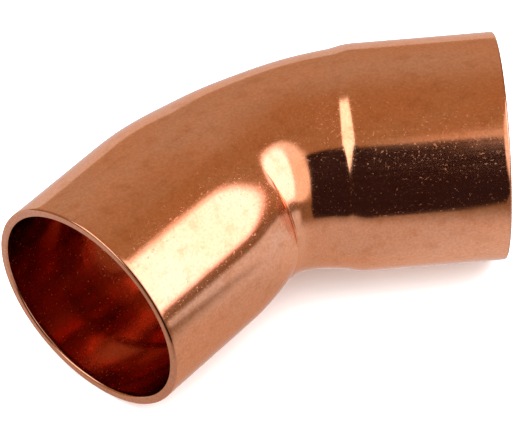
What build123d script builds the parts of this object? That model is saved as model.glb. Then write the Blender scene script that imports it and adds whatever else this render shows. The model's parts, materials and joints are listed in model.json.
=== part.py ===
"""A forty-five degree elbow for 22 mm copper tube, formed as one piece from tube.

Each end is a plain socket that the tube slides into, up to a stop. Behind the stop the
wall steps down over a shoulder, and a slender waisted neck runs round the bend.

Millimetres. The elbow lies flat, +Z up. The origin is the middle of the tube stop in the
socket that faces +X, and +X is that socket's axis, out of its mouth.
"""

import os
from math import radians, tan

from build123d import *

# The tube, and the socket that takes it
tube_diameter = 22.0
socket_gap = 0.1
wall = 0.95
socket_depth = 16.0
lip_chamfer = 0.15

# The bend's centreline
bend_angle = 45.0
centre_to_mouth = 26.0
bend_radius = 20.0

# The shoulder's outside: where it leaves the socket, the arc that turns it inward, and the
# short cone after that
shoulder_start = 14.9
brow_radius = 6.7
shoulder_slope = 14.0
cone_length = 0.7

# The neck's outside: its slope where it leaves the shoulder, and its radius at the waist
neck_slope = 5.0
waist_radius = 10.88

# The tube stop inside, a narrow ledge at the bottom of the socket
ledge_length = 0.4

bore_radius = (tube_diameter + socket_gap) / 2
socket_radius = bore_radius + wall
arm_length = centre_to_mouth - bend_radius * tan(radians(bend_angle / 2))
bend_start = socket_depth - arm_length
neck_fall = tan(radians(neck_slope))

# The centreline turns from the first arm's axis towards -Y, and the waist is halfway round.
with BuildLine() as centreline:
    bend = JernArc((bend_start, 0), (-1, 0), bend_radius, bend_angle)
waist = Plane(bend @ 0.5, x_dir=(0, 0, 1), z_dir=bend % 0.5)

# An arm's half-section stands on its axis, with x back from the mouth and y outwards.
half_section = Plane((socket_depth, 0, 0), x_dir=(-1, 0, 0), z_dir=(0, 1, 0))

with BuildPart() as elbow:
    # One arm: back along the outside and over the shoulder, then forward along the bore
    with BuildSketch(half_section):
        with BuildLine():
            socket = Line((0, socket_radius), (shoulder_start, socket_radius))
            brow = JernArc(socket @ 1, socket % 1, brow_radius, -shoulder_slope)
            cone = Line(brow @ 1, brow @ 1 + (brow % 1) * cone_length)
            foot = cone @ 1
            neck_radius = foot.Y - neck_fall * (arm_length - foot.X)
            neck_bore = neck_radius - wall
            ledge_foot = socket_depth + ledge_length
            Polyline(
                foot,
                (arm_length, neck_radius),
                (arm_length, neck_bore),
                (ledge_foot, neck_bore + neck_fall * (arm_length - ledge_foot)),
                (socket_depth, bore_radius),
                (0, bore_radius),
                socket @ 0,
            )
        make_face()
    revolve(axis=Axis.X)

    # Both edges of the mouth are dressed after the cut
    mouth = elbow.faces().sort_by(Axis.X)[-1]
    chamfer(mouth.edges(), lip_chamfer)

    # The second arm is the first one's mirror image
    mirror(about=waist)

    # The bend: the outside and then the bore, each through five circles. The neck keeps its
    # slope where the bend begins, steepens a little, and levels out at the waist.
    swell = neck_radius - waist_radius
    flattening = swell - neck_fall * bend.length / 4
    for mode, skin in ((Mode.ADD, 0), (Mode.SUBTRACT, wall)):
        for share in (-1, -0.5, 0, 0.5, 1):
            place = (1 + share) / 2
            radius = waist_radius + (swell + flattening) * share**2 - flattening * share**4
            with BuildSketch(Plane(bend @ place, x_dir=(0, 0, 1), z_dir=bend % place)):
                Circle(radius - skin)
        sweep(path=bend, multisection=True, mode=mode)

elbow.part.label = "elbow"
os.makedirs("parts", exist_ok=True)
export_step(elbow.part, "parts/elbow.step")
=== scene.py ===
"""A copper forty-five degree elbow for 22 mm tube, lying flat on a pale table.

The shell is one formed piece: two sockets, a shoulder behind each, and a waisted neck round
the bend. It is built as rings round the elbow's centreline, and finished as drawn copper.
"""

import json
from collections import namedtuple
from math import cos, exp, pi, radians, sin, sqrt, tan

import bpy
from bpy.props import (
    FloatProperty,
    FloatVectorProperty,
    IntProperty,
    PointerProperty,
)
from bpy.types import Operator, Panel, PropertyGroup
from mathutils import Matrix, Vector, noise

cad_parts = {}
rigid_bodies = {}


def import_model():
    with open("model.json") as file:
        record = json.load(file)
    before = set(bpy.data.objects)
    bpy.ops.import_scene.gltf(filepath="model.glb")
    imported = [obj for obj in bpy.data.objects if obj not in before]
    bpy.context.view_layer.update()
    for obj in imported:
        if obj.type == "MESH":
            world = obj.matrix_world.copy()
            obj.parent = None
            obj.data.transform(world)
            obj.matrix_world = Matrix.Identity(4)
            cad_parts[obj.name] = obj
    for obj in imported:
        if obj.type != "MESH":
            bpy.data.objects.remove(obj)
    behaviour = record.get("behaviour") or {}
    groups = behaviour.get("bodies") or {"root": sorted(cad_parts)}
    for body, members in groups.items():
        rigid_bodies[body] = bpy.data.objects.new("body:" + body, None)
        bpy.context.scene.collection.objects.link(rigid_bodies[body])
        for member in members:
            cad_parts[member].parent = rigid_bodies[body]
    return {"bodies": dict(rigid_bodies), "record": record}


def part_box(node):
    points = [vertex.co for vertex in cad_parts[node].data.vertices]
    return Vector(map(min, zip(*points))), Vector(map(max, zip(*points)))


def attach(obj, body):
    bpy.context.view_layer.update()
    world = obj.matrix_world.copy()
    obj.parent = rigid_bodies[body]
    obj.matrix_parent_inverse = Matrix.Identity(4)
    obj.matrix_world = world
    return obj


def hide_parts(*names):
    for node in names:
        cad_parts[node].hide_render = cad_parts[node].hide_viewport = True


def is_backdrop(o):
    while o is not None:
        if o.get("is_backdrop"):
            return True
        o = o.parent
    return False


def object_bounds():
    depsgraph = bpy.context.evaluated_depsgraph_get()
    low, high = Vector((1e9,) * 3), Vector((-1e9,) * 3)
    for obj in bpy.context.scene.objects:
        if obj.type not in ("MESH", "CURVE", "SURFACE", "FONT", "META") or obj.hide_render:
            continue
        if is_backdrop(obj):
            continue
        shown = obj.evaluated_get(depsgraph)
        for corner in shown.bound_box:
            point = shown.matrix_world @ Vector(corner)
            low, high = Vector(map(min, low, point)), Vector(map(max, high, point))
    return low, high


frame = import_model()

bl_info = {
    "name": "Copper Elbow",
    "version": (1, 0, 0),
    "blender": (4, 5, 0),
    "location": "View3D > Sidebar > Elbow",
    "description": "Shapes a forty-five degree copper elbow, finishes it and sets its stage",
    "category": "Add Mesh",
}

MM = 0.001

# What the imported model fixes: its box, and the two sockets' stops, axes and bore
CAD_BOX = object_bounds()
ELBOW_LOW, ELBOW_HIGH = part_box("elbow")
SOCKETS = {mount["name"]: mount for mount in frame["record"]["mounts"]}
OUTLET_STOP = Vector(SOCKETS["outlet_socket"]["pos_m"])
INLET_STOP = Vector(SOCKETS["inlet_socket"]["pos_m"])
OUTLET_AXIS = Vector(SOCKETS["outlet_socket"]["axis"])
INLET_AXIS = Vector(SOCKETS["inlet_socket"]["axis"])
BORE_RADIUS = SOCKETS["outlet_socket"]["dims"]["r_mm"] * MM
SOCKET_RADIUS = min(ELBOW_HIGH.z, -ELBOW_LOW.z, ELBOW_HIGH.y)
SOCKET_DEPTH = ELBOW_HIGH.x - OUTLET_STOP.x
BEND_ANGLE = pi - OUTLET_AXIS.angle(INLET_AXIS)
CENTRE_TO_STOP = (OUTLET_STOP - INLET_STOP).length / 2 / cos(BEND_ANGLE / 2)
CENTRE_TO_MOUTH = CENTRE_TO_STOP + SOCKET_DEPTH
CROSSING = OUTLET_STOP - OUTLET_AXIS * CENTRE_TO_STOP


class ElbowShape(PropertyGroup):
    """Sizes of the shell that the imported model's mounts and box don't give"""

    bend_radius: FloatProperty(
        name="Bend radius",
        description="Radius of the centreline round the bend",
        default=20.0 * MM,
        unit="LENGTH",
    )
    outlet_start: FloatProperty(
        name="Outlet shoulder start",
        description="Distance back from the outlet's mouth to where the outside leaves the socket",
        default=14.9 * MM,
        unit="LENGTH",
    )
    outlet_brow: FloatProperty(
        name="Outlet brow",
        description="Radius of the arc that turns the outlet's outside inward",
        default=6.7 * MM,
        unit="LENGTH",
    )
    outlet_slope: FloatProperty(
        name="Outlet shoulder slope",
        description="Slope of the cone below the outlet's brow",
        default=radians(14.0),
        unit="ROTATION",
    )
    outlet_cone: FloatProperty(
        name="Outlet cone",
        description="Length of the cone below the outlet's brow",
        default=0.7 * MM,
        unit="LENGTH",
    )
    inlet_start: FloatProperty(
        name="Inlet shoulder start",
        description="Distance back from the inlet's mouth to where the outside leaves the socket",
        default=13.2 * MM,
        unit="LENGTH",
    )
    inlet_brow: FloatProperty(
        name="Inlet brow",
        description="Radius of the arc that turns the inlet's outside inward",
        default=27.4 * MM,
        unit="LENGTH",
    )
    inlet_slope: FloatProperty(
        name="Inlet shoulder slope",
        description="Slope of the cone below the inlet's brow",
        default=radians(10.5),
        unit="ROTATION",
    )
    inlet_cone: FloatProperty(
        name="Inlet cone",
        description="Length of the cone below the inlet's brow",
        default=2.4 * MM,
        unit="LENGTH",
    )
    outlet_waist_round: FloatProperty(
        name="Outlet waist rounding",
        description="Share of the neck on the outlet's side over which it levels out to the waist",
        default=0.35,
    )
    inlet_waist_round: FloatProperty(
        name="Inlet waist rounding",
        description="Share of the neck on the inlet's side over which it levels out to the waist",
        default=0.5,
    )
    bend_ease: FloatProperty(
        name="Bend ease",
        description="Distance to each side of a bend's end over which the centreline starts to turn",
        default=2.0 * MM,
        unit="LENGTH",
    )
    crease_lean: FloatProperty(
        name="Crease lean",
        description="How much nearer the waist the inlet's shoulder ends on the bend's inside",
        default=1.4 * MM,
        unit="LENGTH",
    )
    crease_blend: FloatProperty(
        name="Crease blend",
        description="Half-width over which the crease smooths out away from the bend's inside",
        default=2.5 * MM,
        unit="LENGTH",
    )
    waist_radius: FloatProperty(
        name="Waist radius",
        description="Outside radius halfway round the bend",
        default=10.88 * MM,
        unit="LENGTH",
    )
    ledge_length: FloatProperty(
        name="Ledge length",
        description="Length of the narrow cone at the bottom of a socket, the tube stop",
        default=0.4 * MM,
        unit="LENGTH",
    )
    lip_round: FloatProperty(
        name="Lip rounding",
        description="Radius of the edges round a mouth",
        default=0.26 * MM,
        unit="LENGTH",
    )
    mouth_lean: FloatProperty(
        name="Mouth lean",
        description="Lean of the outlet's mouth, whose cut isn't quite square",
        default=radians(1.3),
        unit="ROTATION",
    )
    mouth_lean_side: FloatProperty(
        name="Mouth lean side",
        description="Where round the outlet the cut went deepest, from the outside of the bend",
        default=radians(221.0),
        unit="ROTATION",
    )
    crease_depth: FloatProperty(
        name="Crease depth",
        description="Depth of the fine crease at the foot of the inlet's shoulder",
        default=0.06 * MM,
        unit="LENGTH",
    )
    crease_width: FloatProperty(
        name="Crease width",
        description="Width of that crease",
        default=0.25 * MM,
        unit="LENGTH",
    )
    ripple: FloatProperty(
        name="Ripple",
        description="Height of the slow waves that forming leaves in the wall",
        default=0.018 * MM,
        unit="LENGTH",
    )
    ring_step: FloatProperty(
        name="Ring step",
        description="Distance between two rings of the mesh along the wall",
        default=0.4 * MM,
        unit="LENGTH",
    )
    ring_sides: IntProperty(
        name="Ring sides",
        description="Number of points round each ring",
        default=288,
    )


class CopperFinish(PropertyGroup):
    """Colours and surface of the drawn copper"""

    bright: FloatVectorProperty(
        name="Bright copper",
        description="Colour where the metal is clean",
        subtype="COLOR",
        default=(0.90, 0.38, 0.20),
    )
    dull: FloatVectorProperty(
        name="Dull copper",
        description="Colour where the metal has been handled",
        subtype="COLOR",
        default=(0.86, 0.40, 0.23),
    )
    tarnish: FloatVectorProperty(
        name="Tarnished copper",
        description="Colour of the browner blotches",
        subtype="COLOR",
        default=(0.72, 0.27, 0.12),
    )
    # Painted shade: the bore gets this darker copper, standing in for the shade deep inside the sockets
    inside: FloatVectorProperty(
        name="Inside copper",
        description="Colour of the darker bore",
        subtype="COLOR",
        default=(0.67, 0.30, 0.18),
    )
    edge: FloatVectorProperty(
        name="Edge copper",
        description="Tint of the copper where it is seen at a slant",
        subtype="COLOR",
        default=(0.92, 0.72, 0.60),
    )
    roughness: FloatProperty(
        name="Roughness",
        description="Roughness of the clean metal",
        subtype="FACTOR",
        default=0.08,
    )


class StudioStage(PropertyGroup):
    """The table, the lights round it and the camera"""

    table_colour: FloatVectorProperty(
        name="Table colour",
        description="Colour of the plain table",
        subtype="COLOR",
        default=(0.88, 0.88, 0.88),
    )
    room_light: FloatProperty(
        name="Room light",
        description="Brightness of the light from all round",
        default=2.6,
    )
    camera_azimuth: FloatProperty(
        name="Camera azimuth",
        description="Turn of the camera round the elbow, from straight in front",
        default=radians(-1.98),
        unit="ROTATION",
    )
    camera_elevation: FloatProperty(
        name="Camera elevation",
        description="Angle of the camera above the table",
        default=radians(45.449),
        unit="ROTATION",
    )
    camera_roll: FloatProperty(
        name="Camera roll",
        description="Turn of the picture about its middle",
        default=radians(3.393),
        unit="ROTATION",
    )
    camera_distance: FloatProperty(
        name="Camera distance",
        description="Distance from the camera to the crossing of the two axes",
        default=342.85 * MM,
        unit="LENGTH",
    )


# The shell

Shoulder = namedtuple("Shoulder", "start brow slope brow_end foot waist_round")


def shoulder(shape, at_inlet):
    """One arm's shoulder, with its brow's end and its foot as (distance from mouth, radius)."""
    if at_inlet:
        start, brow, slope, cone = (
            shape.inlet_start, shape.inlet_brow, shape.inlet_slope, shape.inlet_cone,
        )
        waist_round = shape.inlet_waist_round
    else:
        start, brow, slope, cone = (
            shape.outlet_start, shape.outlet_brow, shape.outlet_slope, shape.outlet_cone,
        )
        waist_round = shape.outlet_waist_round
    brow_end = (start + brow * sin(slope), SOCKET_RADIUS - brow * (1 - cos(slope)))
    foot = (brow_end[0] + cone * cos(slope), brow_end[1] - cone * sin(slope))
    return Shoulder(start, brow, slope, brow_end, foot, waist_round)


def arm_length(shape):
    """Length of an arm, from its mouth to where the bend begins."""
    return CENTRE_TO_MOUTH - shape.bend_radius * tan(BEND_ANGLE / 2)


def total_length(shape):
    """Length of the centreline from mouth to mouth."""
    return 2 * arm_length(shape) + shape.bend_radius * BEND_ANGLE


def outside_radius(shape, along):
    """Outside radius at a distance along the centreline from the outlet's mouth."""
    waist_place = total_length(shape) / 2
    at_inlet = along > waist_place
    back = total_length(shape) - along if at_inlet else along
    arm = shoulder(shape, at_inlet)
    if back <= arm.start:
        return SOCKET_RADIUS
    if back <= arm.brow_end[0]:
        return SOCKET_RADIUS - arm.brow + sqrt(arm.brow**2 - (back - arm.start) ** 2)
    if back <= arm.foot[0]:
        return arm.brow_end[1] - (back - arm.brow_end[0]) * tan(arm.slope)
    # A cone that rounds out level at the waist
    neck_length = waist_place - arm.foot[0]
    share = (waist_place - back) / neck_length
    rounding = arm.waist_round
    fall = (sqrt(share**2 + rounding**2) - rounding) / (sqrt(1 + rounding**2) - rounding)
    return shape.waist_radius + (arm.foot[1] - shape.waist_radius) * fall


def smooth(share):
    """Ease a share between 0 and 1 at both ends."""
    share = min(max(share, 0), 1)
    return share * share * (3 - 2 * share)


def blended_radius(shape, along, angle):
    """Outside radius, where the inlet's crease smooths out away from the bend's inside."""
    waist_place = total_length(shape) / 2
    sharpness = smooth((-cos(angle) - 0.6) / 0.35)
    half = shape.crease_blend * (1 - sharpness) * smooth((along - waist_place) / (2 * MM))
    if half == 0 or along > total_length(shape) - shape.inlet_start + half:
        return outside_radius(shape, along)
    steps = 12
    total, weights = 0, 0
    for step in range(-steps + 1, steps):
        weight = cos(pi / 2 * step / steps) ** 2
        total += weight * outside_radius(shape, along + half * step / steps)
        weights += weight
    return total / weights


def inside_radius(shape, along):
    """Inside radius at a distance along the centreline: bore, stop, then one wall in."""
    back = min(along, total_length(shape) - along)
    neck_bore = outside_radius(shape, along) - (SOCKET_RADIUS - BORE_RADIUS)
    share = min(max((back - SOCKET_DEPTH) / shape.ledge_length, 0), 1)
    return BORE_RADIUS + (neck_bore - BORE_RADIUS) * share


def plain_centreline(shape, along):
    """Point and outward normal on two straight arms and the arc between them."""
    bend_start = arm_length(shape)
    turned = min(max((along - bend_start) / shape.bend_radius, 0), BEND_ANGLE)
    straight = along - bend_start - turned * shape.bend_radius
    turn = Matrix.Rotation(turned, 3, "Z")
    outward = turn @ Vector((0, 1, 0))
    centre = CROSSING + OUTLET_AXIS * (CENTRE_TO_MOUTH - bend_start)
    centre -= Vector((0, shape.bend_radius, 0))
    return centre + outward * shape.bend_radius - turn @ OUTLET_AXIS * straight, outward


def centreline(shape, along):
    """Point and outward normal at a distance along the centreline from the outlet's mouth."""
    ease = shape.bend_ease
    bend_start = arm_length(shape)
    if along < bend_start - ease or along > total_length(shape) - bend_start + ease:
        return plain_centreline(shape, along)
    steps = 12
    middle, outward = Vector((0, 0, 0)), Vector((0, 0, 0))
    for step in range(-steps, steps + 1):
        point, normal = plain_centreline(shape, along + ease * step / (steps + 0.5))
        middle += point
        outward += normal
    return middle / (2 * steps + 1), outward.normalized()


def stations(shape, inner):
    """Distances along the centreline at which the wall gets a ring, clear of the lips."""
    length = total_length(shape)
    marks = [shape.lip_round]
    if inner:
        stops = (SOCKET_DEPTH, SOCKET_DEPTH + shape.ledge_length)
        marks += [*stops, *(length - stop for stop in reversed(stops))]
    else:
        outlet, inlet = shoulder(shape, False), shoulder(shape, True)
        crease = length - inlet.foot[0]
        marks += [outlet.start, outlet.brow_end[0], outlet.foot[0]]
        marks += [crease + shape.crease_width * share for share in (-2, -1, -0.5, 0, 0.5, 1, 2)]
        marks += [length - inlet.brow_end[0], length - inlet.start]
    marks += [length - shape.lip_round]
    places = [marks[0]]
    for start, end in zip(marks, marks[1:]):
        steps = max(1, round((end - start) / shape.ring_step))
        places += [start + (end - start) * step / steps for step in range(1, steps + 1)]
    return places


def mouth_trim(shape, along, angle):
    """How far the outlet's leaning cut draws a point back, fading out along the socket."""
    fade = max(0, 1 - along / shape.outlet_start)
    lean = tan(shape.mouth_lean) * SOCKET_RADIUS
    return lean * fade * (1 + cos(angle - shape.mouth_lean_side))


def lip_rings(shape, mouth, direction):
    """Rings over a mouth's lip from the outside to the bore, as (distance along, radius)."""
    round_off = shape.lip_round
    rings = []
    steps = 4
    for step in range(steps):
        angle = pi / 2 * step / steps
        rings.append((round_off * (1 - sin(angle)), SOCKET_RADIUS - round_off * (1 - cos(angle))))
    flat = [SOCKET_RADIUS - round_off, BORE_RADIUS + round_off]
    rings += [(0, flat[0] + (flat[1] - flat[0]) * share) for share in (0, 0.04, 0.5, 0.96, 1)]
    for step in range(1, steps + 1):
        angle = pi / 2 * step / steps
        rings.append((round_off * (1 - cos(angle)), BORE_RADIUS + round_off * (1 - sin(angle))))
    return [(mouth + direction * back, radius) for back, radius in rings]


def shell_rings(shape):
    """All rings of the closed shell: along the outside, over a lip, back along the bore."""
    length = total_length(shape)
    outside = [
        (along, outside_radius(shape, along))
        for along in stations(shape, inner=False)
    ]
    inside = [
        (along, inside_radius(shape, along))
        for along in stations(shape, inner=True)
    ]
    far_lip = lip_rings(shape, length, -1)[1:-1]
    near_lip = [ring for ring in reversed(lip_rings(shape, 0, 1)[1:-1])]
    return outside + far_lip + inside[::-1] + near_lip, len(outside)


def formed_ripple(shape, along, angle, radius):
    """Slow waves left in the wall by forming, always inward, none at the mouths."""
    length = total_length(shape)
    place = Vector((along, radius * cos(angle), radius * sin(angle)))
    fade = min(1, min(along, length - along) / (3 * MM))
    slow = noise.noise(place / (7 * MM))
    quick = noise.noise(place / (2.2 * MM))
    return shape.ripple * fade * (0.6 + 0.5 * slow + 0.1 * quick)


def leaning_place(shape, along, angle):
    """Distance along the centreline of a point whose ring leans towards the waist."""
    length = total_length(shape)
    arm = shoulder(shape, True)
    crease = length - arm.foot[0]
    if along < crease:
        share = (along - length / 2) / (crease - length / 2)
    else:
        far = length - arm.brow_end[0] + 2 * MM
        share = (far - along) / (far - crease)
    inner_side = max(0, -cos(angle) - 0.5) / 0.5
    return along - shape.crease_lean * inner_side * smooth(share)


def crease_depth(shape, along, angle):
    """Depth of the fine crease at the foot of the inlet's shoulder, round the bend's inside."""
    place = total_length(shape) - shoulder(shape, True).foot[0]
    across = exp(-(((along - place) / (0.5 * shape.crease_width)) ** 2))
    inner_side = -cos(angle)
    return shape.crease_depth * across * smooth((inner_side - 0.6) / 0.3) * smooth((1.02 - inner_side) / 0.12)


class ELBOW_OT_shape_shell(Operator):
    """Build the elbow's shell as rings round its centreline"""

    bl_idname = "elbow.shape_shell"
    bl_label = "Shape the shell"

    def execute(self, context):
        shape = context.scene.elbow_shape
        rings, outside_count = shell_rings(shape)
        sides = shape.ring_sides
        points = []
        straightened = []
        inside = []
        for number, (along, radius) in enumerate(rings):
            outer = number < outside_count
            level = centreline(shape, along)
            for side in range(sides):
                angle = 2 * pi * side / sides
                middle, outward = level
                reach = radius - formed_ripple(shape, along, angle, radius)
                if outer:
                    leaning = leaning_place(shape, along, angle)
                    if leaning != along:
                        middle, outward = centreline(shape, leaning)
                    reach += blended_radius(shape, along, angle) - radius
                    reach -= crease_depth(shape, along, angle)
                spoke = outward * cos(angle) + Vector((0, 0, 1)) * sin(angle)
                trim = OUTLET_AXIS * mouth_trim(shape, along, angle)
                points.append(middle + spoke * reach - trim)
                straightened.append((along, radius * cos(angle), radius * sin(angle)))
                inside.append(0.0 if outer else 1.0)
        faces = []
        for ring in range(len(rings)):
            here, there = ring * sides, (ring + 1) % len(rings) * sides
            for side in range(sides):
                beside = (side + 1) % sides
                faces.append((here + side, here + beside, there + beside, there + side))
        mesh = bpy.data.meshes.new("elbow_shell")
        mesh.from_pydata(points, [], faces)
        mesh.shade_smooth()
        tube_space = mesh.attributes.new("tube_space", "FLOAT_VECTOR", "POINT")
        flat = [value for place in straightened for value in place]
        tube_space.data.foreach_set("vector", flat)
        # The inside mask marks the bore, which the copper darkens as painted shade
        mesh.attributes.new("inside", "FLOAT", "POINT").data.foreach_set("value", inside)
        mesh.validate()
        mesh.update()
        shell = bpy.data.objects.new("elbow_shell", mesh)
        context.scene.collection.objects.link(shell)
        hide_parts("elbow")
        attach(shell, next(iter(frame["bodies"])))
        return {"FINISHED"}


# The copper

def add_node(tree, kind, **settings):
    """Add a node, set its plain settings, and return it."""
    node = tree.nodes.new(kind)
    for name, value in settings.items():
        setattr(node, name, value)
    return node


def feed(tree, node, **inputs):
    """Set or link a node's inputs by name, where a space is written as an underscore."""
    for name, value in inputs.items():
        socket = node.inputs[name.replace("_", " ")]
        if isinstance(value, bpy.types.NodeSocket):
            tree.links.new(value, socket)
        else:
            socket.default_value = value
    return node


def grain(tree, place, stretch, scale, detail=2.0, seed=0.0):
    """Noise in tube space, in millimetres, stretched by three factors."""
    spread = add_node(tree, "ShaderNodeVectorMath", operation="MULTIPLY")
    tree.links.new(place, spread.inputs[0])
    spread.inputs[1].default_value = stretch
    shift = add_node(tree, "ShaderNodeVectorMath", operation="ADD")
    tree.links.new(spread.outputs[0], shift.inputs[0])
    shift.inputs[1].default_value = (seed, seed * 1.7, seed * 0.6)
    spots = add_node(tree, "ShaderNodeTexNoise")
    feed(tree, spots, Vector=shift.outputs[0], Scale=scale, Detail=detail)
    return spots.outputs["Fac"]


def ranged(tree, value, low, high, to_low, to_high):
    """Map a value's range onto another, clamped."""
    node = add_node(tree, "ShaderNodeMapRange")
    feed(tree, node, Value=value, From_Min=low, From_Max=high, To_Min=to_low, To_Max=to_high)
    return node.outputs["Result"]


def mixed(tree, share, first, second):
    """Mix two colours."""
    node = add_node(tree, "ShaderNodeMix", data_type="RGBA")
    for name, value in (("Factor", share), ("A", first), ("B", second)):
        socket = next(s for s in node.inputs if s.name == name and s.enabled)
        if isinstance(value, bpy.types.NodeSocket):
            tree.links.new(value, socket)
        else:
            socket.default_value = value
    return next(s for s in node.outputs if s.enabled)


def copper_material(finish):
    """Drawn copper: handled patches, lines along the tube, fine grain and small pits, with painted shade in
    the bore.
    """
    material = bpy.data.materials.new("drawn_copper")
    material.use_nodes = True
    tree = material.node_tree
    tree.nodes.clear()
    output = add_node(tree, "ShaderNodeOutputMaterial")
    shader = add_node(tree, "ShaderNodeBsdfPrincipled")
    shader.inputs["Metallic"].default_value = 1.0
    shader.inputs["Specular Tint"].default_value = (*finish.edge, 1)
    tree.links.new(shader.outputs[0], output.inputs[0])

    attribute = add_node(tree, "ShaderNodeAttribute", attribute_name="tube_space")
    scale = add_node(tree, "ShaderNodeVectorMath", operation="SCALE")
    tree.links.new(attribute.outputs["Vector"], scale.inputs[0])
    scale.inputs["Scale"].default_value = 1 / MM
    place = scale.outputs[0]

    patches = grain(tree, place, (0.6, 1, 1), 0.22, detail=4.0)
    blotches = grain(tree, place, (0.8, 1, 1), 0.7, detail=3.0, seed=11.0)
    lines = grain(tree, place, (0.04, 1, 1), 2.4, detail=3.0, seed=3.0)
    speckle = grain(tree, place, (1, 1, 1), 3.5, detail=3.0, seed=7.0)
    specks = grain(tree, place, (0.8, 1, 1), 4.2, detail=2.0, seed=17.0)

    handled = ranged(tree, patches, 0.4, 0.65, 0.0, 1.0)
    tone = mixed(tree, handled, (*finish.bright, 1), (*finish.dull, 1))
    tarnish = ranged(tree, blotches, 0.52, 0.72, 0.0, 0.55)
    tone = mixed(tree, tarnish, tone, (*finish.tarnish, 1))
    # Painted shade: the inside mask darkens the bore with the darker inside copper
    inside = add_node(tree, "ShaderNodeAttribute", attribute_name="inside")
    tone = mixed(tree, inside.outputs["Fac"], tone, (*finish.inside, 1))
    shade = ranged(tree, speckle, 0.3, 0.7, 0.86, 1.08)
    shaded = add_node(tree, "ShaderNodeVectorMath", operation="SCALE")
    tree.links.new(tone, shaded.inputs[0])
    tree.links.new(shade, shaded.inputs["Scale"])
    tree.links.new(shaded.outputs[0], shader.inputs["Base Color"])

    # Scuffed specks are rougher than the clean metal between them
    scuffs = ranged(tree, specks, 0.60, 0.76, 0.0, 0.26)
    rough = add_node(tree, "ShaderNodeMath", operation="ADD")
    tree.links.new(scuffs, rough.inputs[0])
    tree.links.new(ranged(tree, lines, 0.3, 0.7, finish.roughness, finish.roughness + 0.05), rough.inputs[1])
    tree.links.new(rough.outputs[0], shader.inputs["Roughness"])

    bump_lines = add_node(tree, "ShaderNodeBump")
    feed(tree, bump_lines, Strength=0.12, Distance=0.01 * MM, Height=lines)
    bump_grain = add_node(tree, "ShaderNodeBump")
    feed(tree, bump_grain, Strength=0.15, Distance=0.01 * MM, Height=speckle, Normal=bump_lines.outputs[0])
    tree.links.new(bump_grain.outputs[0], shader.inputs["Normal"])
    return material


class ELBOW_OT_finish_copper(Operator):
    """Make the copper and put it on the shell"""

    bl_idname = "elbow.finish_copper"
    bl_label = "Finish the copper"

    def execute(self, context):
        material = copper_material(context.scene.copper_finish)
        bpy.data.objects["elbow_shell"].data.materials.append(material)
        return {"FINISHED"}


# The stage

def plain_material(name, colour, roughness=0.6):
    """A plain painted surface."""
    material = bpy.data.materials.new(name)
    material.use_nodes = True
    shader = material.node_tree.nodes["Principled BSDF"]
    shader.inputs["Base Color"].default_value = (*colour, 1)
    shader.inputs["Roughness"].default_value = roughness
    return material


def glowing_material(name, colour, strength):
    """A surface that gives even light."""
    material = bpy.data.materials.new(name)
    material.use_nodes = True
    tree = material.node_tree
    tree.nodes.clear()
    output = add_node(tree, "ShaderNodeOutputMaterial")
    glow = add_node(tree, "ShaderNodeEmission")
    feed(tree, glow, Color=(*colour, 1), Strength=strength)
    tree.links.new(glow.outputs[0], output.inputs[0])
    return material


def direction(azimuth, elevation):
    """Unit vector away from the elbow: azimuth 0 is towards -Y, and 90 towards +X."""
    flat = cos(radians(elevation))
    return Vector((sin(radians(azimuth)) * flat, -cos(radians(azimuth)) * flat, sin(radians(elevation))))


def only_in_reflections(piece):
    """Hide a piece of the stage from everything but the copper's reflections."""
    piece.visible_camera = False
    piece.visible_diffuse = False
    piece.visible_transmission = False
    piece.visible_volume_scatter = False
    piece.visible_shadow = False


def card_material(name, colour):
    """Even light, which thins out where the card's cover does."""
    material = bpy.data.materials.new(name)
    material.use_nodes = True
    tree = material.node_tree
    tree.nodes.clear()
    output = add_node(tree, "ShaderNodeOutputMaterial")
    cover = add_node(tree, "ShaderNodeAttribute", attribute_name="cover")
    clear = add_node(tree, "ShaderNodeBsdfTransparent")
    glow = add_node(tree, "ShaderNodeEmission")
    feed(tree, glow, Color=(*colour, 1), Strength=1.0)
    blend = add_node(tree, "ShaderNodeMixShader")
    tree.links.new(cover.outputs["Fac"], blend.inputs[0])
    tree.links.new(clear.outputs[0], blend.inputs[1])
    tree.links.new(glow.outputs[0], blend.inputs[2])
    tree.links.new(blend.outputs[0], output.inputs[0])
    return material


def square_cover(columns, rows, soft):
    """Cover of a sheet whose edges fade over so much at the sides, the bottom and the top."""
    def cover(column, row):
        fades = (
            (column - columns[0], soft[0]),
            (columns[1] - column, soft[0]),
            (row - rows[0], soft[1]),
            (rows[1] - row, soft[2]),
        )
        return smooth(min([1] + [inset / width for inset, width in fades if width]))
    return cover


def round_cover(columns, rows, soft, power):
    """Cover of a rounded sheet that fades inwards from its rim."""
    half_width = (columns[1] - columns[0]) / 2
    half_height = (rows[1] - rows[0]) / 2
    def cover(column, row):
        across = abs(column - columns[0] - half_width) / half_width
        up = abs(row - rows[0] - half_height) / half_height
        rim = 1 - (across**power + up**power) ** (1 / power)
        return smooth(rim * min(half_width, half_height) / soft)
    return cover


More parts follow.
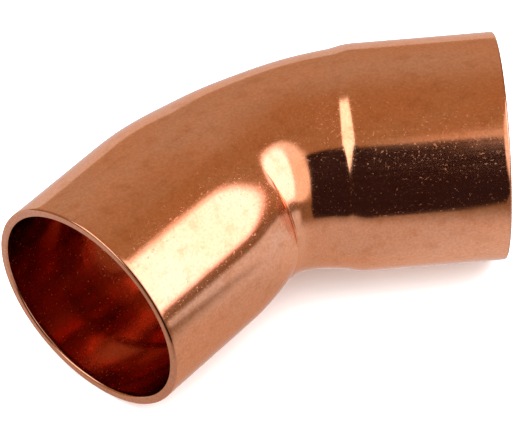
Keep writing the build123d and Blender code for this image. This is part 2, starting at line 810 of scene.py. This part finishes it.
def soft_sheet(name, columns, rows, place, colour, cover):
    """A sheet seen only in reflections, over a range of columns and of rows, in degrees."""
    steps = 48
    points = []
    covers = []
    faces = []
    for up in range(steps + 1):
        for across in range(steps + 1):
            column = columns[0] + (columns[1] - columns[0]) * across / steps
            row = rows[0] + (rows[1] - rows[0]) * up / steps
            points.append(place(column, row))
            covers.append(cover(column, row))
    for up in range(steps):
        for across in range(steps):
            corner = up * (steps + 1) + across
            faces.append((corner, corner + 1, corner + steps + 2, corner + steps + 1))
    mesh = bpy.data.meshes.new(name)
    mesh.from_pydata(points, [], faces)
    mesh.materials.append(card_material(name, colour))
    mesh.attributes.new("cover", "FLOAT", "POINT").data.foreach_set("value", covers)
    sheet = bpy.data.objects.new(name, mesh)
    bpy.context.scene.collection.objects.link(sheet)
    only_in_reflections(sheet)
    sheet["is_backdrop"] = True


def direction_from_left(turn, slant):
    """Unit vector at a slant from -X, turned about X: 0 is towards -Y, and 90 is up."""
    flat = sin(radians(slant))
    return Vector((-cos(radians(slant)), -cos(radians(turn)) * flat, sin(radians(turn)) * flat))


def stand_card(name, azimuths, elevations, colour, soft=(4, 4, 4), reach=0.5, lean=0.0):
    """A curved card between two azimuths and two elevations, whose sides may lean."""
    def on_sphere(azimuth, elevation):
        return CROSSING + direction(azimuth + lean * elevation, elevation) * reach
    soft_sheet(name, azimuths, elevations, on_sphere, colour, square_cover(azimuths, elevations, soft))


def stand_round_card(name, azimuths, elevations, colour, soft, reach, power=2.2):
    """A curved card with a rounded outline between two azimuths and two elevations."""
    def on_sphere(azimuth, elevation):
        return CROSSING + direction(azimuth, elevation) * reach
    cover = round_cover(azimuths, elevations, soft, power)
    soft_sheet(name, azimuths, elevations, on_sphere, colour, cover)


def hang_side_card(name, turns, slants, colour, soft, reach):
    """A curved card over the elbow's left, between two turns about X and two slants from -X."""
    def on_sphere(turn, slant):
        return CROSSING + direction_from_left(turn, slant) * reach
    soft_sheet(name, turns, slants, on_sphere, colour, square_cover(turns, slants, soft))


def lay_mat(name, azimuths, elevations, colour, soft=(4, 4, 0), sunk=0.5 * MM):
    """A mat on the table between two azimuths, seen at two elevations below level."""
    def on_table(azimuth, elevation):
        flat = direction(azimuth, 0) * SOCKET_RADIUS / tan(radians(-elevation))
        return Vector((CROSSING.x, CROSSING.y, ELBOW_LOW.z - sunk)) + flat
    soft_sheet(name, azimuths, elevations, on_table, colour, square_cover(azimuths, elevations, soft))


def lay_straight_mat(name, azimuths, elevations, colour, soft, sunk=0.5 * MM):
    """A mat like that, whose near edge runs straight along X."""
    def on_table(azimuth, elevation):
        away = SOCKET_RADIUS / tan(radians(-elevation))
        aside = away * tan(radians(azimuth))
        return Vector((CROSSING.x + aside, CROSSING.y - away, ELBOW_LOW.z - sunk))
    soft_sheet(name, azimuths, elevations, on_table, colour, square_cover(azimuths, elevations, soft))


def lay_plane(name, height, half, material):
    """A square plane level with the table."""
    corners = [(-half, -half), (half, -half), (half, half), (-half, half)]
    mesh = bpy.data.meshes.new(name)
    mesh.from_pydata([(x, y, height) for x, y in corners], [], [(0, 1, 2, 3)])
    mesh.materials.append(material)
    plane = bpy.data.objects.new(name, mesh)
    bpy.context.scene.collection.objects.link(plane)
    plane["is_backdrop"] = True
    return plane


class ELBOW_OT_set_stage(Operator):
    """Lay the table, hang the lights and stand the camera"""

    bl_idname = "elbow.set_stage"
    bl_label = "Set the stage"

    def execute(self, context):
        scene = context.scene
        stage = scene.studio_stage
        table = lay_plane("table", ELBOW_LOW.z, 2.0, plain_material("pale_table", stage.table_colour))
        table.visible_glossy = False
        bounce_material = glowing_material("table_bounce", (0.82, 0.88, 1.0), 1.0)
        bounce = lay_plane("table_bounce", ELBOW_LOW.z - 1 * MM, 0.45, bounce_material)
        only_in_reflections(bounce)

        world = bpy.data.worlds.new("room")
        world.use_nodes = True
        room = world.node_tree.nodes["Background"]
        room.inputs["Color"].default_value = (1, 1, 1, 1)
        room.inputs["Strength"].default_value = stage.room_light
        scene.world = world

        dark = (0.030, 0.016, 0.018)
        brown = (0.26, 0.18, 0.11)
        hard = (0, 0, 0)
        stand_card("room_walls", (-180, 180), (-8, 90), (0.43, 0.28, 0.15), soft=hard, reach=0.6)
        stand_card("back_card", (125, 235), (-9, 80), (0.54, 0.45, 0.36), soft=(35, 0, 50), reach=0.56)
        stand_card("skirting", (-60, 100), (-9, 6), brown, soft=(20, 0, 4), reach=0.55)
        stand_round_card("window_glow", (0, 104), (2, 71), (0.90, 0.74, 0.62), 5, reach=0.52)
        stand_round_card("window_edge", (10, 102), (2, 70), (1.30, 1.20, 1.15), 5, reach=0.51)
        stand_round_card("window_core", (46, 100), (2, 62), (3.5, 2.7, 3.2), 7, reach=0.50)
        hang_side_card("side_card", (24, 112), (45, 76), (2.1, 2.3, 2.4), soft=(10, 0, 3), reach=0.53)
        stand_card("dark_card", (-31, 14.5), (-9, 55), dark, soft=(2, 0, 3), reach=0.45)
        stand_card("dark_wing", (-10, 23), (-9, 55), dark, soft=(4, 0, 3), reach=0.44, lean=-0.25)
        lay_mat("front_mat", (-90, 72), (-85, -1), (0.66, 0.60, 0.58), soft=(45, 0, 0), sunk=0.8 * MM)
        lay_mat("far_mat", (-60, 60), (-19, -1), brown, soft=(12, 10, 0), sunk=0.6 * MM)
        lay_mat("line_mat", (40, 105), (-6, -1), brown, soft=(10, 3, 0), sunk=0.7 * MM)
        lay_straight_mat("dark_mat", (-31, 26), (-12.8, -1), dark, soft=(4, 1.2, 0))

        key_data = bpy.data.lights.new("key", "AREA")
        key_data.size = 0.8
        key_data.energy = 9.0
        key = bpy.data.objects.new("key", key_data)
        key.location = CROSSING + direction(60, 65) * 1.0
        key.rotation_mode = "QUATERNION"
        key.rotation_quaternion = direction(60, 65).to_track_quat("Z", "Y")
        key.visible_glossy = False
        scene.collection.objects.link(key)

        photo_width = 514
        focal_pixels = 3273.4
        offset = Vector((-0.239 * MM, -5.044 * MM))
        camera_data = bpy.data.cameras.new("camera")
        camera_data.lens = focal_pixels * camera_data.sensor_width / photo_width
        camera_data.clip_start = 0.01
        camera_data.clip_end = 10
        camera = bpy.data.objects.new("camera", camera_data)
        back = Vector((
            sin(stage.camera_azimuth) * cos(stage.camera_elevation),
            -cos(stage.camera_azimuth) * cos(stage.camera_elevation),
            sin(stage.camera_elevation),
        ))
        right = (-back).cross(Vector((0, 0, 1))).normalized()
        down = (-back).cross(right)
        turned_right = right * cos(stage.camera_roll) + down * sin(stage.camera_roll)
        turned_down = down * cos(stage.camera_roll) - right * sin(stage.camera_roll)
        camera.rotation_mode = "QUATERNION"
        turn = Matrix((turned_right, -turned_down, back)).transposed()
        camera.rotation_quaternion = turn.to_quaternion()
        camera.location = (
            CROSSING + back * stage.camera_distance - turned_right * offset.x - turned_down * offset.y
        )
        scene.collection.objects.link(camera)
        scene.camera = camera
        scene.view_settings.view_transform = "Standard"
        scene.cycles.glossy_bounces = 12
        return {"FINISHED"}


class ELBOW_PT_sidebar(Panel):
    """The elbow's sizes, its finish, its stage, and a button for each"""

    bl_idname = "ELBOW_PT_sidebar"
    bl_label = "Copper Elbow"
    bl_space_type = "VIEW_3D"
    bl_region_type = "UI"
    bl_category = "Elbow"

    def draw(self, context):
        groups = (
            (context.scene.elbow_shape, ELBOW_OT_shape_shell.bl_idname),
            (context.scene.copper_finish, ELBOW_OT_finish_copper.bl_idname),
            (context.scene.studio_stage, ELBOW_OT_set_stage.bl_idname),
        )
        for group, operator in groups:
            box = self.layout.box()
            for name in group.__annotations__:
                box.prop(group, name)
            box.operator(operator)


CLASSES = (
    ElbowShape,
    CopperFinish,
    StudioStage,
    ELBOW_OT_shape_shell,
    ELBOW_OT_finish_copper,
    ELBOW_OT_set_stage,
    ELBOW_PT_sidebar,
)


def register():
    for one in CLASSES:
        bpy.utils.register_class(one)
    bpy.types.Scene.elbow_shape = PointerProperty(type=ElbowShape)
    bpy.types.Scene.copper_finish = PointerProperty(type=CopperFinish)
    bpy.types.Scene.studio_stage = PointerProperty(type=StudioStage)


def unregister():
    del bpy.types.Scene.studio_stage
    del bpy.types.Scene.copper_finish
    del bpy.types.Scene.elbow_shape
    for one in reversed(CLASSES):
        bpy.utils.unregister_class(one)


def main():
    register()
    bpy.ops.elbow.shape_shell()
    bpy.ops.elbow.finish_copper()
    bpy.ops.elbow.set_stage()
    boxes = {"cad": CAD_BOX, "visual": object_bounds()}
    {name: [list(low), list(high)] for name, (low, high) in boxes.items()}


if __name__ == "__main__":
    main()
